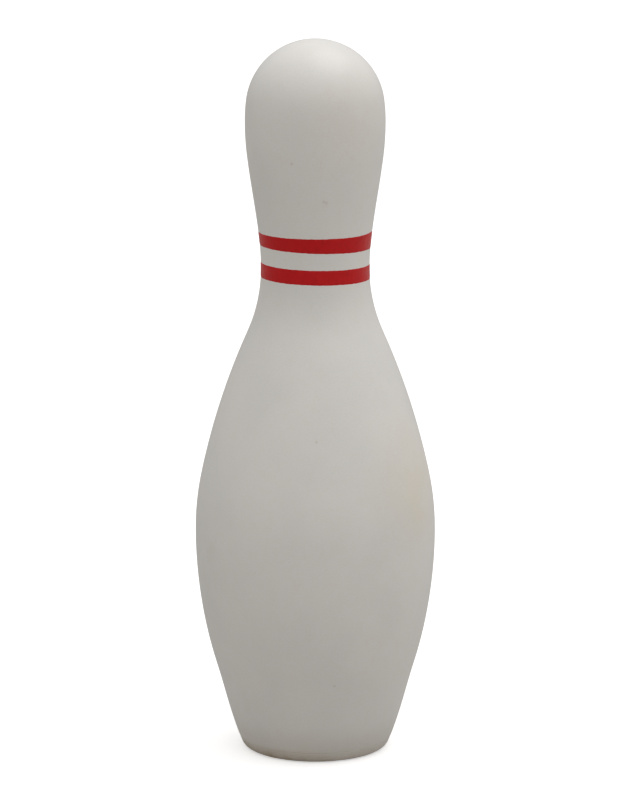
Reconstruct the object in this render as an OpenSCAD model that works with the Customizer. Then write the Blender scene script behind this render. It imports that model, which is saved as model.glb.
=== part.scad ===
// A ten-pin bowling pin: a turned, laminated maple core in a moulded plastic
// coat, standing on a nylon base ring, with two colour bands round its neck.
//
// Frame: millimetres, +Z up the pin's axis, origin in the middle of the circle
// that the pin stands on. The front is -Y and the right-hand side is +X.

/* [Overall] */
// Height of the standing pin
pin_h = 381; // [378:1:384]

/* [Foot] */
// Outer diameter of the flat that the pin stands on
foot_d = 70; // [66:1:72]
// Radius of the rounded bottom edge
foot_r = 5; // [3.5:0.5:6]

/* [Belly] */
// Largest diameter of the pin
belly_d = 128; // [126:1:130]
// Height of the largest diameter
belly_z = 119; // [117:1:121]
// Outline radius below the largest diameter
belly_low_r = 250; // [240:5:260]
// Outline radius just above the largest diameter
belly_up_r = 150; // [140:5:160]
// Lean of the outline, in degrees, where the belly passes into the shoulder
belly_turn = 12; // [11:1:13]
// Outline radius of the long shoulder between the belly and the neck
shoulder_r = 380; // [360:10:420]

/* [Neck] */
// Smallest diameter of the neck
neck_d = 57.5; // [56:0.5:59]
// Height of the smallest diameter
neck_z = 260; // [258:1:262]
// Outline radius of the hollow above the smallest diameter
neck_up_r = 150; // [130:10:170]

/* [Head] */
// Largest diameter of the head
head_d = 74; // [74:0.5:76]
// Height of the largest diameter of the head
head_z = 338; // [336:1:340]
// Outline radius below the largest diameter of the head
head_low_r = 155; // [140:5:170]
// Radius of the round top
cap_r = 36.6; // [36:0.1:36.8]

/* [Plastic coat and bands] */
// Thickness of the plastic coat
coat_t = 3; // [2:0.25:3.25]
// Width of a neck band, measured up the pin
band_w = 7.75; // [5:0.25:9]
// Height of the lower edge of the lower band
lower_band_z = 255.25; // [252:0.25:257]
// Height of the lower edge of the upper band
upper_band_z = 272; // [269:0.25:275]
// Thickness of a neck band
band_t = 0.2; // [0.2:0.1:0.4]

/* [Wooden core] */
// Width of the square billet at the middle of the core
billet_w = 70; // [70:1:74]
// Width of the pocket in each cheek that takes weight out of the pin
pocket_w = 40; // [20:1:42]
// Height of the pocket
pocket_h = 90; // [60:1:94]
// Depth of the pocket
pocket_depth = 14; // [5:1:15]
// Height of the pocket's middle
pocket_z = 115; // [112:1:118]
// Diameter of the spindle hole in the base
spindle_d = 12.7; // [8:0.1:16]
// Depth of the spindle hole
spindle_depth = 38; // [20:1:60]
// Width of the chamfer round the spindle hole's mouth
spindle_chamfer = 1; // [0.5:0.5:2]

/* [Base ring] */
// Height of the base ring's outside
ring_h = 6; // [6:0.5:8]
// Diameter of the opening in the base ring
ring_hole_d = 48; // [40:1:50]
// Diameter of the middle of the tongue that locks the ring into the core
tongue_d = 60; // [58:1:61]
// Thickness of the tongue
tongue_w = 5; // [3:0.5:5]
// Height of the tongue above the ring
tongue_h = 8; // [4:1:12]
// How far the wood in the middle of the base stays clear of the floor
foot_recess = 3; // [1:0.5:4]

/* [Hidden] */
$fn = 360;

// Arcs that end closer together than this share their end.
SHORTEST = 0.001;

// The largest gap between an arc of the outline and its chords.
CHORD_GAP = 0.04;

// Which way an arc curves: round a centre inside the pin, or round one outside it.
BULGE = 1;
HOLLOW = -1;

// The billet is glued up from a left, a centre and a right ply.
ply_w = billet_w / 3;

// ---- Outline ----
//
// The outline is a chain of arcs that run smoothly into each other. Its lean is
// its angle from vertical: positive where the pin widens upward, 90 at the floor
// and -90 at the top.

// The point of an arc where the outline has the given lean.
function on_arc(centre, r, side, lean) = centre + side * r * [cos(lean), -sin(lean)];

// Lean of the straight line that runs smoothly from one arc into another.
function lean_between(centre_a, r_a, side_a, centre_b, r_b, side_b) =
    let (across = centre_b - centre_a)
    acos((side_a * r_a - side_b * r_b) / norm(across)) - atan2(across.y, across.x);

foot_c = [foot_d / 2, foot_r];
belly_low_c = [belly_d / 2 - belly_low_r, belly_z];
belly_up_c = [belly_d / 2 - belly_up_r, belly_z];

// The shoulder starts where the belly's arc ends, with its centre on the same normal.
belly_top = on_arc(belly_up_c, belly_up_r, BULGE, -belly_turn);
shoulder_c = on_arc(belly_top, shoulder_r, HOLLOW, -belly_turn);

// The hollow below the neck has the one radius that touches the shoulder's arc.
neck_from_shoulder = [neck_d / 2, neck_z] - shoulder_c;
neck_low_r = (neck_from_shoulder * neck_from_shoulder - shoulder_r * shoulder_r)
    / (2 * (shoulder_r - neck_from_shoulder.x));
neck_low_c = [neck_d / 2 + neck_low_r, neck_z];
neck_up_c = [neck_d / 2 + neck_up_r, neck_z];
head_low_c = [head_d / 2 - head_low_r, head_z];

// The arc above the head's largest diameter has the one radius that touches the cap.
cap_c = [0, pin_h - cap_r];
cap_rise = cap_c.y - head_z;
head_up_r = (head_d * head_d / 4 + cap_rise * cap_rise - cap_r * cap_r) / (head_d - 2 * cap_r);
head_up_c = [head_d / 2 - head_up_r, head_z];

flank_lean = lean_between(foot_c, foot_r, BULGE, belly_low_c, belly_low_r, BULGE);
shoulder_lean = -atan2((neck_low_c - shoulder_c).y, (neck_low_c - shoulder_c).x);
throat_lean = lean_between(neck_up_c, neck_up_r, HOLLOW, head_low_c, head_low_r, BULGE);
cap_lean = -atan2(cap_rise, -head_up_c.x);

// The arcs from the floor up: [centre, radius, side, lean at the bottom, lean at the top].
ARCS = [
    [foot_c, foot_r, BULGE, 90, flank_lean],
    [belly_low_c, belly_low_r, BULGE, flank_lean, 0],
    [belly_up_c, belly_up_r, BULGE, 0, -belly_turn],
    [shoulder_c, shoulder_r, BULGE, -belly_turn, shoulder_lean],
    [neck_low_c, neck_low_r, HOLLOW, shoulder_lean, 0],
    [neck_up_c, neck_up_r, HOLLOW, 0, throat_lean],
    [head_low_c, head_low_r, BULGE, throat_lean, 0],
    [head_up_c, head_up_r, BULGE, 0, cap_lean],
    [cap_c, cap_r, BULGE, cap_lean, -90]
];

// A point of an arc moved in by inset.
function arc_point(arc, inset, lean) = on_arc(arc[0], arc[1] - arc[2] * inset, arc[2], lean);

// Whether a straight stretch, and not just a shared point, lies below the arc of this number.
function starts_apart(i) =
    i == 0 || arc_point(ARCS[i], 0, ARCS[i][3]).y - arc_point(ARCS[i - 1], 0, ARCS[i - 1][4]).y > SHORTEST;

// How many chords it takes to follow an arc to within CHORD_GAP.
function chord_count(arc) = ceil(abs(arc[4] - arc[3]) / (2 * acos(1 - CHORD_GAP / arc[1])));

// The points of one arc from the bottom up. A point that it shares with the arc below is left out.
function arc_points(i, inset) =
    let (arc = ARCS[i], count = chord_count(arc), first = starts_apart(i) ? 0 : 1)
    [for (k = [first : count]) arc_point(arc, inset, arc[3] + (arc[4] - arc[3]) * k / count)];

// Half of the pin's section, moved in by inset all over.
module outline(inset = 0) {
    points = [for (i = [0 : len(ARCS) - 1]) each arc_points(i, inset)];
    polygon(concat([[0, points[0].y]], points));
}

// Everything between two heights, from the axis out to the given radius.
module slab(z_low, z_high, out_to = belly_d) {
    translate([0, z_low]) square([out_to, z_high - z_low]);
}

// ---- Wooden core ----

// The turned core: it fills the coat, and its foot reaches down inside the base ring.
module turned_core() {
    rotate_extrude() difference() {
        union() {
            intersection() {
                outline(coat_t);
                slab(ring_h, pin_h);
            }
            slab(foot_recess, ring_h, ring_hole_d / 2);
        }
        tongue_section();
    }
}

// The tongue's section, which is also the section of the groove that it fills.
module tongue_section() {
    translate([(tongue_d - tongue_w) / 2, ring_h]) square([tongue_w, tongue_h]);
}

// One ply of the billet, counted from the middle one towards +X.
module billet_ply(place) {
    intersection() {
        turned_core();
        translate([(place - 0.5) * ply_w, -billet_w / 2, 0]) cube([ply_w, billet_w, pin_h]);
    }
}

// The pocket routed into the glue face of a front cheek.
module weight_pocket() {
    straight_h = pocket_h - pocket_w;
    translate([0, -billet_w / 2, pocket_z]) rotate([90, 0, 0]) linear_extrude(pocket_depth) {
        square([pocket_w, straight_h], center = true);
        for (end = [-1, 1]) translate([0, end * straight_h / 2]) circle(d = pocket_w);
    }
}

// A cheek glued to the front of the billet, then turned round the axis to its own side.
module cheek(turn, width) {
    rotate([0, 0, turn]) difference() {
        intersection() {
            turned_core();
            translate([-width / 2, -belly_d, 0]) cube([width, belly_d - billet_w / 2, pin_h]);
        }
        weight_pocket();
    }
}

// The blind hole up the axis, with its chamfer's cone carried on below the wood.
module spindle_hole() {
    cylinder(h = foot_recess + spindle_depth, d = spindle_d);
    translate([0, 0, foot_recess - spindle_chamfer])
        cylinder(h = 2 * spindle_chamfer, d1 = spindle_d + 4 * spindle_chamfer, d2 = spindle_d);
}

module core_centre_ply() {
    color("burlywood") difference() {
        billet_ply(0);
        spindle_hole();
    }
}

module core_left_ply() {
    color("tan") billet_ply(-1);
}

module core_right_ply() {
    color("tan") billet_ply(1);
}

module front_cheek() {
    color("wheat") cheek(0, billet_w);
}

module back_cheek() {
    color("wheat") cheek(180, billet_w);
}

module right_cheek() {
    color("navajowhite") cheek(90, belly_d);
}

module left_cheek() {
    color("navajowhite") cheek(270, belly_d);
}

// ---- Base ring, coat and bands ----

module base_ring() {
    color("gainsboro") rotate_extrude() {
        difference() {
            intersection() {
                outline();
                slab(0, ring_h);
            }
            slab(0, ring_h, ring_hole_d / 2);
        }
        tongue_section();
    }
}

module plastic_coat() {
    color("ivory") rotate_extrude() intersection() {
        difference() {
            outline();
            outline(coat_t);
        }
        slab(ring_h, pin_h);
    }
}

// A thin band on the coat, with its lower edge at the given height.
module neck_band(z_low) {
    color("firebrick") rotate_extrude() intersection() {
        difference() {
            outline(-band_t);
            outline();
        }
        slab(z_low, z_low + band_w);
    }
}

module lower_neck_band() {
    neck_band(lower_band_z);
}

module upper_neck_band() {
    neck_band(upper_band_z);
}

core_centre_ply();
core_left_ply();
core_right_ply();
front_cheek();
back_cheek();
left_cheek();
right_cheek();
base_ring();
plastic_coat();
lower_neck_band();
upper_neck_band();
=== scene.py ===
import math
import random

import bmesh
import bpy
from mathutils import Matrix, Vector


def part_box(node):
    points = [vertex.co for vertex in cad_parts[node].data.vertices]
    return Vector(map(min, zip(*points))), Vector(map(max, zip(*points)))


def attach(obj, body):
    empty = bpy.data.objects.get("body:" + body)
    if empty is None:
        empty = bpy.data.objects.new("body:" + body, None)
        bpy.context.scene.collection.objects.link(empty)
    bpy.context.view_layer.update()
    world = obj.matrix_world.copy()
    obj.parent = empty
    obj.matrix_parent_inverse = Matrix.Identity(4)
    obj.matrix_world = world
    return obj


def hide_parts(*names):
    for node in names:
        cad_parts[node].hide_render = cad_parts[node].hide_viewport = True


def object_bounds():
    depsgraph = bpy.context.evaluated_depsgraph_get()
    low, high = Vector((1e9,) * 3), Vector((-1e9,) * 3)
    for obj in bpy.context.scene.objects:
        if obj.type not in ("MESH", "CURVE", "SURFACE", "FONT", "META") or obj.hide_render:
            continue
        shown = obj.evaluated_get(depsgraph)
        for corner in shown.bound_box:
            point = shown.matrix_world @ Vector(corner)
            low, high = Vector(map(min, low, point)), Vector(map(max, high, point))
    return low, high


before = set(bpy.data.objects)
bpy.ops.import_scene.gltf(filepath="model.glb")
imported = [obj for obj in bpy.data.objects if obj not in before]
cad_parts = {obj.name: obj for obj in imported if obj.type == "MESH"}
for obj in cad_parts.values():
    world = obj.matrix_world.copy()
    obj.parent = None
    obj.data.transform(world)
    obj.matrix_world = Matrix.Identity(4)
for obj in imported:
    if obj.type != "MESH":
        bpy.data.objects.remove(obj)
CAD_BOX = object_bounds()
PIN_TOP = CAD_BOX[1].z
MM = 0.001

# Everything random comes from here, so that each run gives the same pin.
RANDOM = random.Random(1)

# Points closer to the axis than this are on it.
ON_AXIS = 0.001 * MM

# Segments round the pin, and the spacing of the points up its outline.
SIDES = 256
OUTLINE_STEP = 1.6 * MM
INSIDE_STEP = 6 * MM

# Neighbouring stretches of a CAD outline that turn less than this are one straight line.
LEAST_TURN = math.radians(0.3)

# The hairline joint between coat and base ring: both edges are rounded.
SEAM_R = 0.25 * MM
RING_EDGE_R = 0.6 * MM
EDGE_STEPS = 4

# The coat is not perfectly round: it wavers inward by up to this much, and less over its lowest stretch.
# What lies deeper in the coat than the skin doesn't waver.
COAT_WAVER = 0.14 * MM
COAT_STEADY = 10 * MM
COAT_SKIN = 0.5 * MM

# Edges between faces that turn more than this stay sharp.
SHARP_ANGLE = math.radians(50)

# How far the bands stand proud of the coat and reach down into it.
BAND_PROUD = 0.12 * MM
BAND_ROOT = 0.15 * MM

# Steps round a band and across it, and how ragged its edges are.
BAND_SIDES = 720
BAND_ROWS = 12
BAND_RAGGED = 0.1 * MM

# How far each band's lower and upper edge run down to the right, and up to the left.
LOWER_BAND_TILT = (0.55 * MM, 0.55 * MM)
UPPER_BAND_TILT = (0.9 * MM, 0.0)

# A bulge in a band's upper edge: its angle round the pin, its width as an angle, and its height.
NO_SWELL = (0.0, 1.0, 0.0)
RIGHT_SWELL = (math.radians(75), math.radians(15), 0.5 * MM)


# ---- Outline of the pin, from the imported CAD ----


def wall_points(node, side):
    """{height: radius} of a turned CAD node's outer wall (side 1) or inner wall (side -1)."""
    points = {}
    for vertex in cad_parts[node].data.vertices:
        out = Vector((vertex.co.x, vertex.co.y, 0))
        on_axis = out.length < ON_AXIS
        facing = vertex.normal.z if on_axis else vertex.normal.dot(out.normalized())
        if facing * side > 0.1:
            height = round(vertex.co.z, 6)
            points[height] = max(points.get(height, 0), out.length)
    return points


def corners_of(points):
    """The points of a {height: radius} line where it turns, from the bottom up."""
    line = [Vector((radius, height)) for height, radius in sorted(points.items())]
    kept = [line[0]]
    for here, after in zip(line[1:], line[2:]):
        if (here - kept[-1]).angle(after - here) > LEAST_TURN:
            kept.append(here)
    return kept + [line[-1]]


def tangents(points):
    """The direction of a smooth line through points, at each of them."""
    gaps = [(b - a).length for a, b in zip(points, points[1:])]
    slopes = [(b - a) / gap for a, b, gap in zip(points, points[1:], gaps)]
    inner = [
        (slopes[i] * gaps[i + 1] + slopes[i + 1] * gaps[i]) / (gaps[i] + gaps[i + 1])
        for i in range(len(slopes) - 1)
    ]
    return [slopes[0] * 2 - inner[0]] + inner + [slopes[-1] * 2 - inner[-1]]


def smooth_line(points, step):
    """Points about step apart along a smooth line through the given points."""
    ways = tangents(points)
    line = [points[0]]
    for a, b, way_a, way_b in zip(points, points[1:], ways, ways[1:]):
        gap = (b - a).length
        count = max(1, round(gap / step))
        for k in range(1, count + 1):
            t = k / count
            from_a = a * (2 * t**3 - 3 * t**2 + 1) + way_a * (gap * (t**3 - 2 * t**2 + t))
            from_b = b * (3 * t**2 - 2 * t**3) + way_b * (gap * (t**3 - t**2))
            line.append(from_a + from_b)
    return line


def stretch(line, low, high):
    """The part of a line between two heights, cut exactly at both."""
    part = []
    for a, b in zip(line, line[1:]):
        for height in (low, high):
            if a.y <= height < b.y:
                part.append(a.lerp(b, (height - a.y) / (b.y - a.y)))
        if low < b.y < high:
            part.append(b)
    return part


def radius_at(height):
    """Radius of the pin's outside at a height."""
    for a, b in zip(OUTLINE, OUTLINE[1:]):
        if a.y <= height <= b.y and a.y < b.y:
            return a.x + (b.x - a.x) * (height - a.y) / (b.y - a.y)
    return 0.0


RING_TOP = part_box("plastic_coat")[0].z
RING_WALL = {z: r for z, r in wall_points("base_ring", 1).items() if z <= RING_TOP + ON_AXIS}
OUTLINE = smooth_line(corners_of({**RING_WALL, **wall_points("plastic_coat", 1)}), OUTLINE_STEP)
INSIDE = smooth_line(corners_of(wall_points("plastic_coat", -1)), INSIDE_STEP)


# ---- Unevenness, repeated exactly at each run ----


def ripple(wave_counts, height):
    """A wavy function of the angle round the pin, within plus or minus height."""
    share = height / len(wave_counts)
    waves = [(count, RANDOM.uniform(0, 2 * math.pi)) for count in wave_counts]
    return lambda turn: sum(share * math.sin(count * turn + phase) for count, phase in waves)


ROUND_WAVES = [ripple((2, 3, 5), 0.5) for _ in range(3)]
HEIGHT_WAVES = (95 * MM, 61 * MM, 43 * MM)


def waver(turn, height):
    """How far the coat lies inside its outline at an angle and a height."""
    parts = [
        wave(turn) * math.sin(2 * math.pi * height / length + number)
        for number, (wave, length) in enumerate(zip(ROUND_WAVES, HEIGHT_WAVES))
    ]
    return COAT_WAVER * (0.5 + sum(parts) / len(parts))


# ---- Mesh building ----


def fillet(before, corner, after, radius):
    """The points of a rounded corner of a section."""
    start = corner + (before - corner).normalized() * radius
    end = corner + (after - corner).normalized() * radius
    steps = [k / EDGE_STEPS for k in range(EDGE_STEPS + 1)]
    return [start * (1 - t) ** 2 + corner * (2 * t * (1 - t)) + end * t**2 for t in steps]


def revolve(name, section, sides=SIDES, place=None):
    """A closed solid of revolution.

    section is its cut face's outline as (radius, height) points, which may touch the axis.
    place(turn, point) may move a point for each angle round the axis.
    """
    mesh = bmesh.new()
    rings = [ring_of(mesh, point, sides, place) for point in section]
    pairs = list(zip(rings, rings[1:])) + [(rings[-1], rings[0])]
    for low, high in pairs:
        for k in range(sides):
            bridge(mesh, low, high, k, k + 1)
    return solid_from(name, mesh)


def ring_of(mesh, point, sides, place):
    """The vertices of one section point turned round the axis: a single one on the axis itself."""
    if point.x < ON_AXIS:
        return [mesh.verts.new((0, 0, point.y))]
    ring = []
    for k in range(sides):
        turn = 2 * math.pi * k / sides
        at = place(turn, point) if place else point
        ring.append(mesh.verts.new((at.x * math.sin(turn), -at.x * math.cos(turn), at.y)))
    return ring


def bridge(mesh, low, high, k, after):
    """The face between two rings from one side to the next, if it has any area."""
    corners = []
    path = [(low, k), (low, after), (high, after), (high, k)]
    for vertex in [ring[number % len(ring)] for ring, number in path]:
        if vertex not in corners:
            corners.append(vertex)
    if len(corners) > 2:
        mesh.faces.new(corners)


def solid_from(name, mesh):
    """Turns a bmesh into a smooth-shaded object."""
    bmesh.ops.recalc_face_normals(mesh, faces=mesh.faces)
    data = bpy.data.meshes.new(name)
    mesh.to_mesh(data)
    mesh.free()
    data.shade_smooth()
    data.set_sharp_from_angle(angle=SHARP_ANGLE)
    piece = bpy.data.objects.new(name, data)
    bpy.context.scene.collection.objects.link(piece)
    return piece


# ---- Pieces ----


def make_coat():
    """The moulded plastic coat: outside up to the top, then down its inside."""
    outside = stretch(OUTLINE, RING_TOP + SEAM_R, PIN_TOP)
    inside = stretch(INSIDE, RING_TOP + SEAM_R, PIN_TOP)
    foot_out = Vector((radius_at(RING_TOP), RING_TOP))
    foot_in = Vector((inside[0].x, RING_TOP))
    lip = fillet(foot_in, foot_out, outside[1], SEAM_R)
    top_out = Vector((0, PIN_TOP))
    top_in = Vector((0, INSIDE[-1].y))
    section = lip + outside[1:] + [top_out, top_in] + inside[::-1] + [foot_in]

    def uneven(turn, point):
        faces_out = point.x > radius_at(point.y) - COAT_SKIN
        fade = min(1, (point.y - RING_TOP) / COAT_STEADY)
        return Vector((point.x - faces_out * fade * waver(turn, point.y), point.y))

    coat = revolve("coat_shell", section, place=uneven)
    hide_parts("plastic_coat")
    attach(coat, "root")
    return coat


def make_base_ring():
    """The nylon ring that the pin stands on, with the tongue that locks it into the wood."""
    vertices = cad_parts["base_ring"].data.vertices
    tongue_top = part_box("base_ring")[1].z
    radii = [math.hypot(v.co.x, v.co.y) for v in vertices]
    hole_r = min(radii)
    tongue_radii = [r for r, v in zip(radii, vertices) if v.co.z > tongue_top - ON_AXIS]
    tongue_in = min(tongue_radii)
    tongue_out = max(tongue_radii)

    wall = stretch(OUTLINE, 0, RING_TOP - SEAM_R)
    rim = Vector((radius_at(RING_TOP), RING_TOP))
    hole_low = Vector((hole_r, 0))
    hole_high = Vector((hole_r, RING_TOP))
    section = fillet(hole_high, hole_low, wall[0], RING_EDGE_R) + wall
    section += fillet(wall[-1], rim, hole_high, SEAM_R)
    section += [
        Vector((tongue_out, RING_TOP)),
        Vector((tongue_out, tongue_top)),
        Vector((tongue_in, tongue_top)),
        Vector((tongue_in, RING_TOP)),
        hole_high,
    ]
    ring = revolve("foot_ring", section)
    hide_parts("base_ring")
    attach(ring, "root")
    return ring


def make_band(node, name, tilt, swell):
    """A painted band, with edges that tilt and a swell in its upper edge."""
    low_tilt, high_tilt = tilt
    low, high = (corner.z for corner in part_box(node))
    low_ripple = ripple((9, 23, 41, 58), BAND_RAGGED)
    high_ripple = ripple((11, 19, 37, 62), BAND_RAGGED)
    swell_turn, swell_width, swell_height = swell
    rows = [k / BAND_ROWS for k in range(BAND_ROWS + 1)]

    def edges(turn):
        off = (turn - swell_turn + math.pi) % (2 * math.pi) - math.pi
        bump = swell_height * math.exp(-((off / swell_width) ** 2))
        bottom = low - low_tilt * math.sin(turn) + low_ripple(turn)
        top = high - high_tilt * math.sin(turn) + high_ripple(turn) + bump
        return bottom, top

    def on_band(turn, point):
        bottom, top = edges(turn)
        height = bottom + (top - bottom) * point.y
        return Vector((radius_at(height) - waver(turn, height) + point.x - 1, height))

    # Section points are (1 + how far out, share of the band's width), until on_band places them.
    outer = [Vector((1 + BAND_PROUD * (1 - (2 * row - 1) ** 10), row)) for row in rows]
    root = [Vector((1 - BAND_ROOT, row)) for row in rows[::-1]]
    band = revolve(name, outer + root, BAND_SIDES, on_band)
    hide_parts(node)
    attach(band, "root")
    return band


# ---- Materials ----

# The sockets of a colour mix: how much of the second colour, the two colours, and the result.
MIX_SHARE = 0
MIX_FIRST = 6
MIX_SECOND = 7
MIX_RESULT = 2


def material(name):
    """A new node material: (material, its node tree, its shader)."""
    made = bpy.data.materials.new(name)
    made.use_nodes = True
    return made, made.node_tree, made.node_tree.nodes["Principled BSDF"]


def feed(tree, socket, value):
    """Sets an input to a value, or links it if the value is another node's output."""
    if isinstance(value, bpy.types.NodeSocket):
        tree.links.new(value, socket)
    else:
        socket.default_value = value


def node(tree, kind, inputs, **settings):
    """A new node with these inputs and settings."""
    made = tree.nodes.new(kind)
    for key, value in settings.items():
        setattr(made, key, value)
    for key, value in inputs.items():
        feed(tree, made.inputs[key], value)
    return made


def position(tree):
    """Place on the object, in metres."""
    return node(tree, "ShaderNodeTexCoord", {}).outputs["Object"]


def coordinate(tree, axis):
    """One coordinate of the place on the object."""
    return node(tree, "ShaderNodeSeparateXYZ", {"Vector": position(tree)}).outputs[axis]


def noise(tree, size, detail=2.0, vector=None, roughness=0.5):
    """Noise from 0 to 1 with features about this size, in metres."""
    inputs = {
        "Vector": vector or position(tree),
        "Scale": 1 / size,
        "Detail": detail,
        "Roughness": roughness,
    }
    return node(tree, "ShaderNodeTexNoise", inputs).outputs[0]


def ramp(tree, value, start, end, low=0.0, high=1.0):
    """A smooth change from low to high as value goes from start to end."""
    inputs = {"Value": value, "From Min": start, "From Max": end, "To Min": low, "To Max": high}
    return node(tree, "ShaderNodeMapRange", inputs, interpolation_type="SMOOTHSTEP").outputs[0]


def math_node(tree, operation, a, b=0.0):
    """The result of a sum, product or other operation."""
    return node(tree, "ShaderNodeMath", {0: a, 1: b}, operation=operation).outputs[0]


def mix(tree, share, a, b):
    """Colour a, with a share of colour b."""
    inputs = {MIX_SHARE: share, MIX_FIRST: rgba(a), MIX_SECOND: rgba(b)}
    return node(tree, "ShaderNodeMix", inputs, data_type="RGBA").outputs[MIX_RESULT]


def rgba(colour):
    """A colour with its alpha, or an output left as it is."""
    return colour if isinstance(colour, bpy.types.NodeSocket) else (*colour, 1.0)


def bump(tree, height, distance, before=None):
    """A normal that follows a height from 0 to 1, scaled to distance in metres."""
    inputs = {"Height": height, "Distance": distance}
    if before:
        inputs["Normal"] = before
    return node(tree, "ShaderNodeBump", inputs).outputs["Normal"]


WHITE_PLASTIC = (0.78, 0.76, 0.74)
GREYED_PLASTIC = (0.75, 0.74, 0.725)
YELLOWED_PLASTIC = (0.70, 0.62, 0.46)
# A dark brown: the colour of dirt on the coat, and also of the painted shade on the foot.
DIRT_AND_SHADE_BROWN = (0.34, 0.235, 0.11)
RED_PAINT = (0.53, 0.007, 0.009)
THIN_RED_PAINT = (0.60, 0.012, 0.014)
DARK_RED_PAINT = (0.36, 0.005, 0.008)

# Worn patches on the coat: their colour, their place as degrees round to the right of the front and a
# share of the pin's height, how far they reach and how strong they are.
PATCHES = [
    (YELLOWED_PLASTIC, 60, 0.40, 45 * MM, 0.40),
    (YELLOWED_PLASTIC, 60, 0.35, 20 * MM, 0.20),
    (YELLOWED_PLASTIC, 30, 0.90, 35 * MM, 0.14),
    (YELLOWED_PLASTIC, 200, 0.30, 40 * MM, 0.22),
    (DIRT_AND_SHADE_BROWN, -60, 0.30, 10 * MM, 0.07),
    (DIRT_AND_SHADE_BROWN, -110, 0.35, 8 * MM, 0.14),
]

# Small specks of dirt, scattered over the coat.
SPECK_COUNT = 14
SPECK_REACH = 1.2 * MM
SPECK_STRENGTH = 0.25
SPECKS = [(RANDOM.uniform(0, 360), RANDOM.uniform(0.10, 0.92)) for _ in range(SPECK_COUNT)]

# How strong the brown grime and painted shade are at the very bottom of the foot, and how strong the painted
# shade above it is, darker towards the floor.
FOOT_DIRT_AND_SHADE = 0.85
FOOT_PAINTED_SHADE = 0.17


def on_coat(turn, share):
    """The place on the pin's outside at some degrees right of the front and a share of its height."""
    height = share * PIN_TOP
    angle = math.radians(turn)
    radius = radius_at(height)
    return radius * math.sin(angle), -radius * math.cos(angle), height


def near(tree, centre, radius):
    """1 at a place on the object, falling to 0 this far away."""
    inputs = {0: position(tree), 1: centre}
    away = node(tree, "ShaderNodeVectorMath", inputs, operation="DISTANCE").outputs["Value"]
    return ramp(tree, away, radius, 0.0)


def times(tree, first, *others):
    """The product of some values."""
    for value in others:
        first = math_node(tree, "MULTIPLY", first, value)
    return first


def foot_dirt_and_shade(tree):
    """How dark the foot is: painted shade low down on the pin, darker towards the floor, and brown grime with
    painted shade at the floor, most of it on the left.
    """
    # Painted shade: the pin grows darker over its lowest 24 mm and darkest at the floor, more on the left, on
    # top of brown grime there.
    painted_shade = ramp(tree, coordinate(tree, "Z"), 24 * MM, 6 * MM, 0.0, FOOT_PAINTED_SHADE)
    upward = ramp(tree, coordinate(tree, "Z"), 9 * MM, -3 * MM)
    sideways = ramp(tree, coordinate(tree, "X"), 20 * MM, -30 * MM, 0.40, 1.2)
    patches = ramp(tree, noise(tree, 9 * MM, 4), 0.3, 0.7, 0.55, 1.0)
    return math_node(tree, "ADD", painted_shade, times(tree, upward, sideways, patches, FOOT_DIRT_AND_SHADE))


def plastic_colour(tree):
    """Off-white, mottled at two scales, with worn patches, specks, and a foot darkened by brown grime and
    painted shade.
    """
    mottle = ramp(tree, noise(tree, 38 * MM, 4), 0.35, 0.68)
    colour = mix(tree, mottle, WHITE_PLASTIC, GREYED_PLASTIC)
    clouds = ramp(tree, noise(tree, 5 * MM, 3), 0.42, 0.75, 0.0, 0.07)
    colour = mix(tree, clouds, colour, YELLOWED_PLASTIC)
    for tint, turn, share, reach, strength in PATCHES:
        uneven = ramp(tree, noise(tree, reach / 2, 3), 0.25, 0.65, 0.45, 1.0)
        shown = times(tree, near(tree, on_coat(turn, share), reach), uneven, strength)
        colour = mix(tree, shown, colour, tint)
    for turn, share in SPECKS:
        shown = times(tree, near(tree, on_coat(turn, share), SPECK_REACH), SPECK_STRENGTH)
        colour = mix(tree, shown, colour, DIRT_AND_SHADE_BROWN)
    grain = ramp(tree, noise(tree, 0.8 * MM, 2), 0.3, 0.7, 0.0, 0.05)
    colour = mix(tree, grain, colour, DIRT_AND_SHADE_BROWN)
    dust = ramp(tree, noise(tree, 1.1 * MM, 2), 0.70, 0.78, 0.0, 0.10)
    colour = mix(tree, dust, colour, DIRT_AND_SHADE_BROWN)
    # Brown grime and painted shade at the foot, darker towards the floor.
    return mix(tree, foot_dirt_and_shade(tree), colour, DIRT_AND_SHADE_BROWN)


def scratches(tree):
    """0 almost everywhere, rising to 1 in fine, long scratches that run mostly up and down."""
    inputs = {"Vector": position(tree), "Rotation": (0.2, 0.1, 0.0), "Scale": (1.0, 1.0, 0.12)}
    place = node(tree, "ShaderNodeMapping", inputs).outputs[0]
    lines = noise(tree, 0.9 * MM, 1, place)
    worn = ramp(tree, noise(tree, 24 * MM, 2), 0.48, 0.62)
    return times(tree, ramp(tree, lines, 0.66, 0.74), worn)


def make_coat_material():
    """Off-white moulded plastic with a satin gloss that handling has dulled in patches."""
    made, tree, shader = material("coat_plastic_satin")
    tree.links.new(plastic_colour(tree), shader.inputs["Base Color"])

    scratched = scratches(tree)
    dulled = ramp(tree, noise(tree, 16 * MM, 5, roughness=0.62), 0.3, 0.7, 0.28, 0.42)
    rough = math_node(tree, "ADD", dulled, times(tree, scratched, 0.25))
    tree.links.new(rough, shader.inputs["Roughness"])

    peel = bump(tree, noise(tree, 1.6 * MM, 2), 0.010 * MM)
    waves = bump(tree, noise(tree, 11 * MM, 2), 0.04 * MM, peel)
    groove = math_node(tree, "SUBTRACT", 1.0, scratched)
    tree.links.new(bump(tree, groove, 0.01 * MM, waves), shader.inputs["Normal"])
    return made


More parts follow.
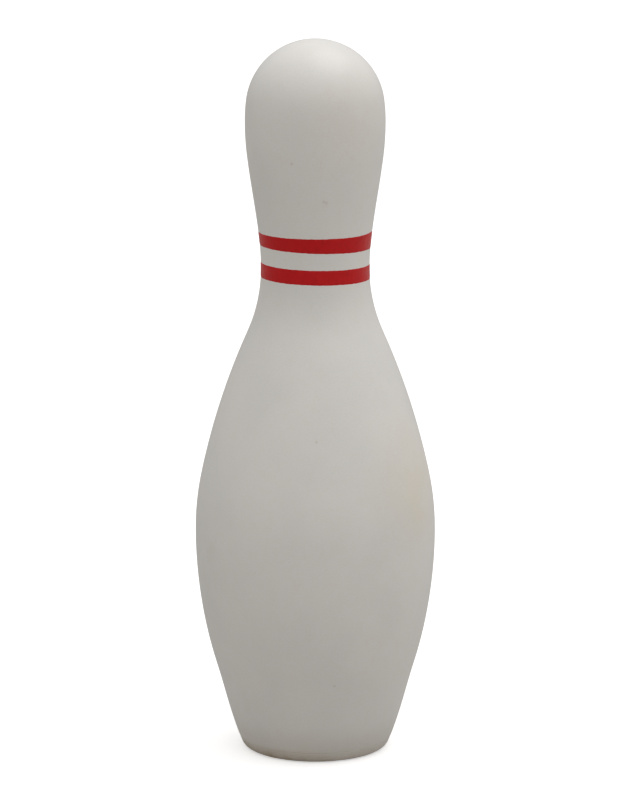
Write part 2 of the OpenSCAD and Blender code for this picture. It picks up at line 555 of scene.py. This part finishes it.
def make_band_material():
    """Red paint that is thinner in places and a little darker where it gathered."""
    made, tree, shader = material("band_red_paint")
    thin = ramp(tree, noise(tree, 7 * MM, 4), 0.48, 0.78, 0.0, 0.7)
    colour = mix(tree, thin, RED_PAINT, THIN_RED_PAINT)
    thick = ramp(tree, noise(tree, 2.5 * MM, 3), 0.50, 0.72, 0.0, 0.35)
    tree.links.new(mix(tree, thick, colour, DARK_RED_PAINT), shader.inputs["Base Color"])
    tree.links.new(ramp(tree, noise(tree, 3 * MM, 3), 0.3, 0.7, 0.28, 0.42), shader.inputs["Roughness"])
    tree.links.new(bump(tree, noise(tree, 1.2 * MM, 2), 0.015 * MM), shader.inputs["Normal"])
    shader.inputs["Specular IOR Level"].default_value = 0.2
    return made


def make_ring_material():
    """Nylon of the coat's colour, duller, with fine scratches from pin decks."""
    made, tree, shader = material("ring_nylon_worn")
    scratched = ramp(tree, noise(tree, 1.8 * MM, 4, roughness=0.7), 0.55, 0.75, 0.0, 0.16)
    # The coat's colour brings its brown grime and painted shade at the floor onto the ring as well.
    tree.links.new(mix(tree, scratched, plastic_colour(tree), DIRT_AND_SHADE_BROWN), shader.inputs["Base Color"])
    tree.links.new(ramp(tree, noise(tree, 5 * MM, 4), 0.3, 0.7, 0.40, 0.60), shader.inputs["Roughness"])
    tree.links.new(bump(tree, noise(tree, 0.9 * MM, 3), 0.03 * MM), shader.inputs["Normal"])
    return made


def make_wood_material(name, pale, dark, pith, turn):
    """Maple with its grain up the pin. pith is where the middle of the tree was, and turn spins the grain."""
    made, tree, shader = material(name)
    place = node(
        tree,
        "ShaderNodeMapping",
        {"Vector": position(tree), "Location": pith, "Rotation": (0, 0, turn), "Scale": (1, 1, 0.06)},
    ).outputs[0]
    bent = noise(tree, 60 * MM, 2, place)
    shift = node(tree, "ShaderNodeVectorMath", {0: bent, 3: 9 * MM}, operation="SCALE").outputs[0]
    bend = node(tree, "ShaderNodeVectorMath", {0: place, 1: shift}, operation="ADD")
    rings = node(
        tree,
        "ShaderNodeTexWave",
        {"Vector": bend.outputs[0], "Scale": 1 / (13 * MM), "Distortion": 1.5, "Detail": 3.0},
        wave_type="RINGS",
        rings_direction="Z",
    ).outputs[1]
    fibres = noise(tree, 0.7 * MM, 3, place)
    colour = mix(tree, ramp(tree, rings, 0.35, 1.0), pale, dark)
    colour = mix(tree, ramp(tree, fibres, 0.45, 0.8, 0.0, 0.35), colour, dark)
    tree.links.new(colour, shader.inputs["Base Color"])
    tree.links.new(ramp(tree, fibres, 0.3, 0.7, 0.5, 0.7), shader.inputs["Roughness"])
    tree.links.new(bump(tree, fibres, 0.05 * MM), shader.inputs["Normal"])
    return made


def paint(piece, made):
    """Gives a piece or a CAD node this material and no other."""
    piece.data.materials.clear()
    piece.data.materials.append(made)


# Each wooden piece: its colours, where the middle of its tree was, and how its grain is turned.
CORE_PALE = (0.60, 0.42, 0.25)
CORE_DARK = (0.44, 0.28, 0.15)
CHEEK_PALE = (0.66, 0.48, 0.30)
CHEEK_DARK = (0.50, 0.34, 0.19)
WOODS = {
    "core_centre_ply": (CORE_PALE, CORE_DARK, (10 * MM, 60 * MM, 0), 0.1),
    "core_left_ply": (CORE_PALE, CORE_DARK, (50 * MM, -40 * MM, 0), 1.9),
    "core_right_ply": (CORE_PALE, CORE_DARK, (-65 * MM, 20 * MM, 0), 0.8),
    "front_cheek": (CHEEK_PALE, CHEEK_DARK, (0, 90 * MM, 0), 0.2),
    "back_cheek": (CHEEK_PALE, CHEEK_DARK, (15 * MM, -85 * MM, 0), 0.3),
    "left_cheek": (CHEEK_PALE, CHEEK_DARK, (95 * MM, 10 * MM, 0), 0.1),
    "right_cheek": (CHEEK_PALE, CHEEK_DARK, (-80 * MM, -15 * MM, 0), 0.4),
}


def make_pin():
    """All the pieces, in their materials."""
    paint(make_coat(), make_coat_material())
    paint(make_base_ring(), make_ring_material())
    band_paint = make_band_material()
    paint(make_band("lower_neck_band", "lower_band", LOWER_BAND_TILT, NO_SWELL), band_paint)
    paint(make_band("upper_neck_band", "upper_band", UPPER_BAND_TILT, RIGHT_SWELL), band_paint)
    for name, (pale, dark, pith, turn) in WOODS.items():
        paint(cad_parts[name], make_wood_material(name + "_maple", pale, dark, pith, turn))


# ---- Studio ----


# Light from all round, and how much the world adds to it straight up and straight to the right.
ROOM_LIGHT = (0.395, 0.39, 0.376)
SKY_LIGHT = 0.66
RIGHT_LIGHT = 0.19

# The floor that the camera sees, and the one that lights the pin from below: their depths under the pin.
FLOOR_DEPTH = 0.1 * MM
BOUNCE_DEPTH = 0.2 * MM
FLOOR_COLOUR = (0.8, 0.8, 0.8)
FLOOR_GLOW = 0.5
BOUNCE_COLOUR = (0.40, 0.385, 0.36)
FLOOR_HALF = 30.0

# The softbox overhead: its power in watts, its width and depth, where it hangs, where it points, its tint.
SOFTBOX = (6.7, 1.6, 1.2, (0.5, 0.1, 1.9), (0, 0, 0.2), (1.0, 0.995, 0.985))


def make_sheet(name, depth, colour, glow):
    """A large flat sheet a little below the pin, in a matt colour with a glow of its own."""
    made, tree, shader = material(name)
    shader.inputs["Base Color"].default_value = rgba(colour)
    shader.inputs["Roughness"].default_value = 1.0
    shader.inputs["Specular IOR Level"].default_value = 0.0
    shader.inputs["Emission Color"].default_value = (1, 1, 1, 1)
    shader.inputs["Emission Strength"].default_value = glow
    mesh = bmesh.new()
    corners = [(-1, -1), (1, -1), (1, 1), (-1, 1)]
    places = [(FLOOR_HALF * x, FLOOR_HALF * y, -depth) for x, y in corners]
    mesh.faces.new([mesh.verts.new(place) for place in places])
    sheet = solid_from(name, mesh)
    paint(sheet, made)
    sheet.visible_glossy = False
    sheet.visible_shadow = False
    return sheet


def make_floor():
    """A pale floor for the camera, and a darker one under it that gives the pin its light from below."""
    seen = make_sheet("floor", FLOOR_DEPTH, FLOOR_COLOUR, FLOOR_GLOW)
    seen.visible_diffuse = False
    bounce = make_sheet("floor_bounce", BOUNCE_DEPTH, BOUNCE_COLOUR, 0.0)
    bounce.visible_camera = False


def make_softbox(name, power, width, height, place, aim, colour):
    """A rectangular soft light."""
    data = bpy.data.lights.new(name, "AREA")
    data.shape = "RECTANGLE"
    data.size = width
    data.size_y = height
    data.energy = power
    data.color = colour
    light = bpy.data.objects.new(name, data)
    light.location = place
    light.rotation_euler = (Vector(aim) - Vector(place)).to_track_quat("-Z", "Y").to_euler()
    light.visible_camera = False
    bpy.context.scene.collection.objects.link(light)


def make_world():
    """Soft light from all round, growing upward and a little to the right, and white behind the pin."""
    world = bpy.data.worlds.new("studio")
    bpy.context.scene.world = world
    world.use_nodes = True
    tree = world.node_tree
    background = tree.nodes["Background"]
    direction = node(tree, "ShaderNodeTexCoord", {}).outputs["Generated"]
    axes = node(tree, "ShaderNodeSeparateXYZ", {"Vector": direction}).outputs
    upward = math_node(tree, "MULTIPLY", math_node(tree, "MAXIMUM", axes["Z"], 0.0), SKY_LIGHT)
    sideways = math_node(tree, "MULTIPLY", math_node(tree, "MAXIMUM", axes["X"], 0.0), RIGHT_LIGHT)
    extra = math_node(tree, "ADD", upward, sideways)
    light = node(tree, "ShaderNodeVectorMath", {0: ROOM_LIGHT}, operation="ADD")
    tree.links.new(extra, light.inputs[1])
    seen = node(tree, "ShaderNodeLightPath", {}).outputs["Is Camera Ray"]
    tree.links.new(mix(tree, seen, light.outputs[0], (1, 1, 1)), background.inputs["Color"])


# The camera stands in front of the pin, above its top, and looks a little down.
CAMERA_PLACE = (2.5 * MM, -2.0, 586 * MM)
CAMERA_TILT = math.radians(11.23)
CAMERA_LENS = 172.8


def make_camera():
    """The camera at the studio's one viewpoint."""
    data = bpy.data.cameras.new("camera")
    data.sensor_width = 36
    data.lens = CAMERA_LENS
    data.clip_end = 100
    camera = bpy.data.objects.new("camera", data)
    camera.location = CAMERA_PLACE
    camera.rotation_euler = (math.radians(90) - CAMERA_TILT, 0, 0)
    bpy.context.scene.collection.objects.link(camera)
    bpy.context.scene.camera = camera


def make_studio():
    """Floor, lights, background and camera."""
    make_camera()
    make_floor()
    make_world()
    make_softbox("overhead", *SOFTBOX)
    bpy.context.scene.view_settings.view_transform = "Standard"


make_studio()
make_pin()
